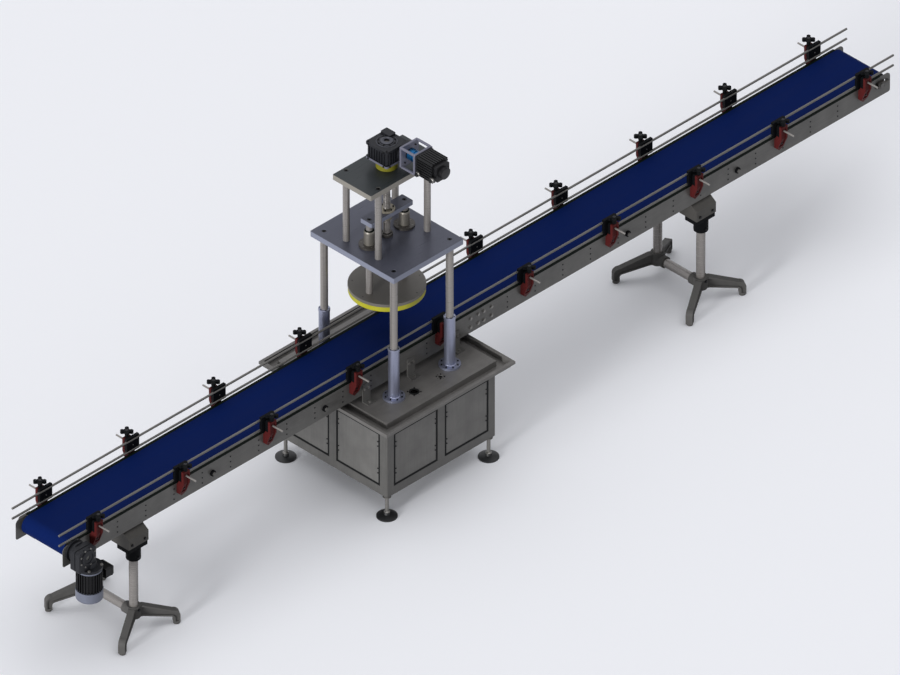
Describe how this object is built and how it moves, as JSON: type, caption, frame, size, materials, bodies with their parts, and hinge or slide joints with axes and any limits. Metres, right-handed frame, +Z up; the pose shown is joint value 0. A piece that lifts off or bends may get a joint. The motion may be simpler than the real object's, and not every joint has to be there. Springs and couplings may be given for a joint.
{
  "type": "bucket capping machine",
  "caption": "Servo screw press on a steel cabinet that closes pail lids over a railed belt conveyor with folding-leg stands.",
  "frame": {"origin": "on the floor under the middle of the conveyor", "axes": "+X along the conveyor away from its drive end, +Y across it away from the drive motor's side, +Z up"},
  "size_m": [6, 0.922, 1.972],
  "materials": {
    "frame_steel": "satin",
    "panel_steel": "satin",
    "rubber": "matte",
    "tray_steel": "satin",
    "sleeve": "satin",
    "belt": "satin",
    "wear": "matte",
    "rod_chrome": "polished",
    "cast_grey": "matte",
    "red_plastic": "matte",
    "black_plastic": "matte",
    "plate": "satin",
    "yellow_metal": "satin",
    "yellow_pad": "matte",
    "gear_cast": "matte",
    "servo": "matte",
    "coupling": "satin",
    "bearing_dark": "matte",
    "nut_cream": "satin"
  },
  "bodies": {
    "base": {"cabinet_frame": "frame_steel", "cabinet_panels": "panel_steel", "panel_seals": "rubber", "drip_tray": "tray_steel", "table_top": "tray_steel", "column_sleeves": "sleeve", "frame_brackets": "frame_steel", "side_frames": "frame_steel", "splice_plates": "frame_steel", "slider_beds": "tray_steel", "cross_members": "frame_steel", "wear_strips": "wear", "drum_bearings": "bearing_dark", "conveyor_belt": "belt", "drive_gearbox": "gear_cast", "drive_motor": "gear_cast", "guide_brackets": "red_plastic", "clamp_blocks": "black_plastic", "clamp_knobs": "black_plastic", "stand_heads": "cast_grey", "stand_sockets": "black_plastic"},
    "drive_drum": {"drive_drum": "frame_steel"},
    "tail_drum": {"tail_drum": "frame_steel"},
    "return_roller_1": {"return_roller_1": "frame_steel"},
    "return_roller_2": {"return_roller_2": "frame_steel"},
    "return_roller_3": {"return_roller_3": "frame_steel"},
    "return_roller_4": {"return_roller_4": "frame_steel"},
    "near_guide": {"near_rails": "rod_chrome", "near_rail_holders": "black_plastic", "near_cross_rods": "rod_chrome"},
    "far_guide": {"far_rails": "rod_chrome", "far_rail_holders": "black_plastic", "far_cross_rods": "rod_chrome"},
    "left_stand": {"left_stand_tubes": "rod_chrome", "left_stand_legs": "black_plastic", "left_cross_tube": "rod_chrome"},
    "right_stand": {"right_stand_tubes": "rod_chrome", "right_stand_legs": "black_plastic", "right_cross_tube": "rod_chrome"},
    "foot_1": {"levelling_foot_1": "bearing_dark"},
    "foot_2": {"levelling_foot_2": "bearing_dark"},
    "foot_3": {"levelling_foot_3": "bearing_dark"},
    "foot_4": {"levelling_foot_4": "bearing_dark"},
    "head": {"head_columns": "rod_chrome", "head_plate": "plate", "upper_columns": "rod_chrome", "gearbox_plate": "plate", "guide_bushes": "bearing_dark", "screw_bearing": "bearing_dark", "gearbox_ring": "yellow_metal", "press_gearbox": "gear_cast", "motor_lantern": "gear_cast", "servo_motor": "servo"},
    "lead_screw": {"lead_screw": "rod_chrome"},
    "motor_coupling": {"motor_coupling": "coupling"},
    "ram": {"crosshead": "plate", "screw_nut": "nut_cream", "ram_guide_rods": "rod_chrome", "press_plate": "plate", "press_pad": "yellow_pad"}
  },
  "joints": [
    {"name": "drive_drum_spin", "type": "hinge", "parent": "base", "child": "drive_drum", "pos_m": [-2.9, 0, 0.7225], "axis": [0, 1, 0], "continuous": true},
    {"name": "tail_drum_spin", "type": "hinge", "parent": "base", "child": "tail_drum", "pos_m": [2.9, 0, 0.7225], "axis": [0, 1, 0], "continuous": true},
    {"name": "return_roller_1_spin", "type": "hinge", "parent": "base", "child": "return_roller_1", "pos_m": [-1.918, 0, 0.7], "axis": [0, 1, 0], "continuous": true},
    {"name": "return_roller_2_spin", "type": "hinge", "parent": "base", "child": "return_roller_2", "pos_m": [-1.12, 0, 0.7], "axis": [0, 1, 0], "continuous": true},
    {"name": "return_roller_3_spin", "type": "hinge", "parent": "base", "child": "return_roller_3", "pos_m": [1.057, 0, 0.7], "axis": [0, 1, 0], "continuous": true},
    {"name": "return_roller_4_spin", "type": "hinge", "parent": "base", "child": "return_roller_4", "pos_m": [1.855, 0, 0.7], "axis": [0, 1, 0], "continuous": true},
    {"name": "near_guide_slide", "type": "slide", "parent": "base", "child": "near_guide", "axis": [0, 1, 0], "range_m": [-0.002, 0.028]},
    {"name": "far_guide_slide", "type": "slide", "parent": "base", "child": "far_guide", "axis": [0, -1, 0], "range_m": [-0.002, 0.028]},
    {"name": "left_stand_slide", "type": "slide", "parent": "base", "child": "left_stand", "axis": [0, 0, 1], "range_m": [0, 0.11]},
    {"name": "right_stand_slide", "type": "slide", "parent": "base", "child": "right_stand", "axis": [0, 0, 1], "range_m": [0, 0.11]},
    {"name": "foot_1_screw", "type": "slide", "parent": "base", "child": "foot_1", "axis": [0, 0, 1], "range_m": [-0.02, 0.04]},
    {"name": "foot_2_screw", "type": "slide", "parent": "base", "child": "foot_2", "axis": [0, 0, 1], "range_m": [-0.02, 0.04]},
    {"name": "foot_3_screw", "type": "slide", "parent": "base", "child": "foot_3", "axis": [0, 0, 1], "range_m": [-0.02, 0.04]},
    {"name": "foot_4_screw", "type": "slide", "parent": "base", "child": "foot_4", "axis": [0, 0, 1], "range_m": [-0.02, 0.04]},
    {"name": "head_slide", "type": "slide", "parent": "base", "child": "head", "axis": [0, 0, 1], "range_m": [-0.06, 0.15]},
    {"name": "ram_slide", "type": "slide", "parent": "head", "child": "ram", "axis": [0, 0, 1], "range_m": [-0.035, 0.2]},
    {"name": "lead_screw_spin", "type": "hinge", "parent": "head", "child": "lead_screw", "pos_m": [-0.505, 0, 1.5], "axis": [0, 0, 1], "continuous": true},
    {"name": "motor_spin", "type": "hinge", "parent": "head", "child": "motor_coupling", "pos_m": [-0.442, -0.146, 1.905], "axis": [0, 1, 0], "continuous": true}
  ],
  "couplings": [
    {"joint": "tail_drum_spin", "follows": "drive_drum_spin", "ratio": 1},
    {"joint": "return_roller_1_spin", "follows": "drive_drum_spin", "ratio": -2.4178},
    {"joint": "return_roller_2_spin", "follows": "drive_drum_spin", "ratio": -2.4178},
    {"joint": "return_roller_3_spin", "follows": "drive_drum_spin", "ratio": -2.4178},
    {"joint": "return_roller_4_spin", "follows": "drive_drum_spin", "ratio": -2.4178},
    {"joint": "lead_screw_spin", "follows": "ram_slide", "rad_per_m": -314.16},
    {"joint": "motor_spin", "follows": "ram_slide", "rad_per_m": 1570.8}
  ]
}
